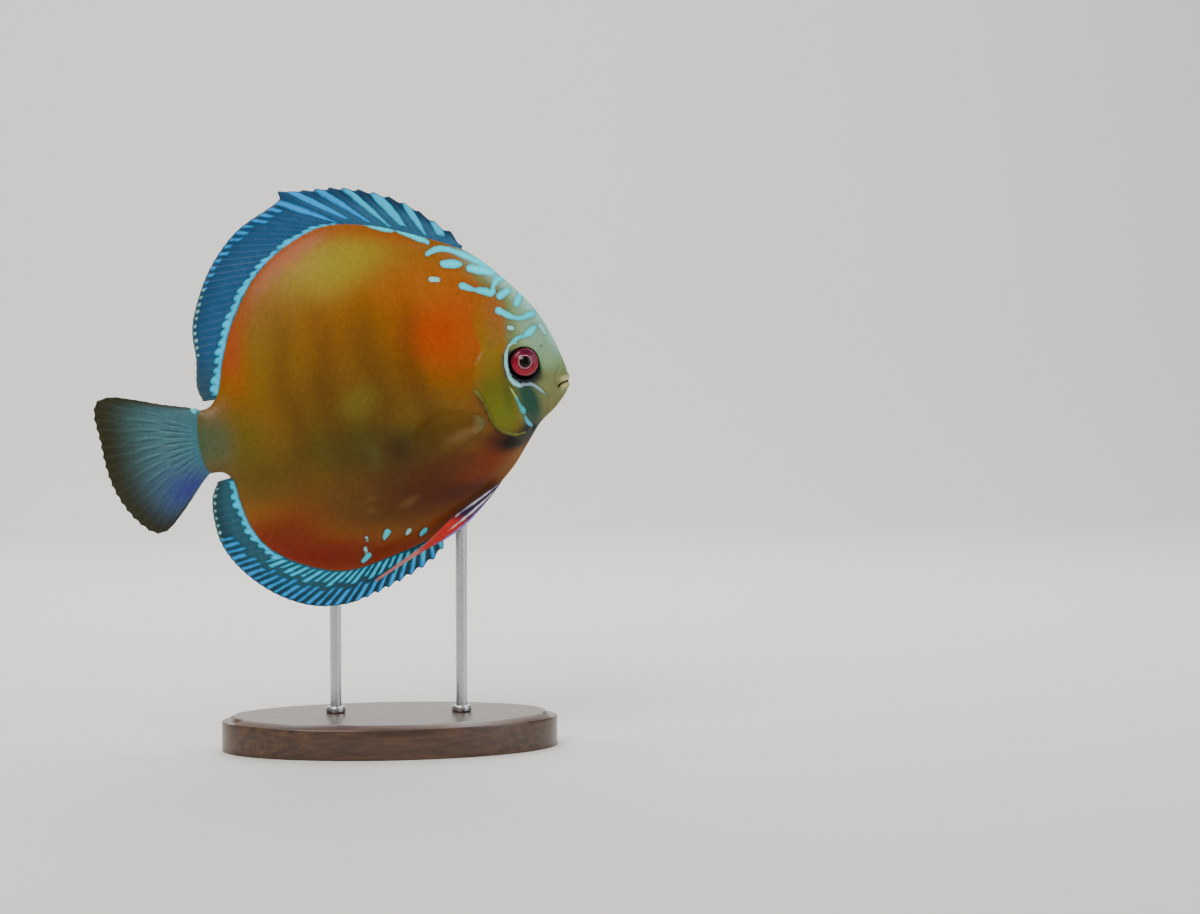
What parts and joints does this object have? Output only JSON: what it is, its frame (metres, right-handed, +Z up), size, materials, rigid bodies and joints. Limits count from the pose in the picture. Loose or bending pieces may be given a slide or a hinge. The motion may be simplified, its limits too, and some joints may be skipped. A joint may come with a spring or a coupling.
{
  "type": "discus fish display model",
  "caption": "Life-size still model of a discus fish: a flat, disc-shaped body with tall middle fins, held level by rods on a flat oval base, for display.",
  "frame": {"origin": "centre of the underside of the stand's base", "axes": "+X toward the fish's mouth, +Z up, +Y toward the fish's left side"},
  "size_m": [0.166, 0.066, 0.1962],
  "materials": {
    "skin": "satin, painted in orange and olive with bright blue lines",
    "fin": "satin, slate blue, clearer toward the edge",
    "clear_fin": "clear with pale rays",
    "eye": "polished, crimson round a black pupil",
    "stand_wood": "dark, satin varnish",
    "stand_metal": "brushed"
  },
  "bodies": {
    "root": {"head": "skin", "gill_cover_right": "skin", "gill_cover_left": "skin", "upper_lip": "skin", "lower_jaw": "skin", "eye_right": "eye", "eye_left": "eye", "trunk": "skin", "tail_stalk": "skin", "dorsal_fin": "fin", "anal_fin": "fin", "tail_fin": "fin", "pectoral_fin_right": "clear_fin", "pectoral_fin_left": "clear_fin", "pelvic_fin_right": "fin", "pelvic_fin_left": "fin", "stand_base": "stand_wood", "stand_rod_front": "stand_metal", "stand_rod_rear": "stand_metal"}
  },
  "joints": []
}
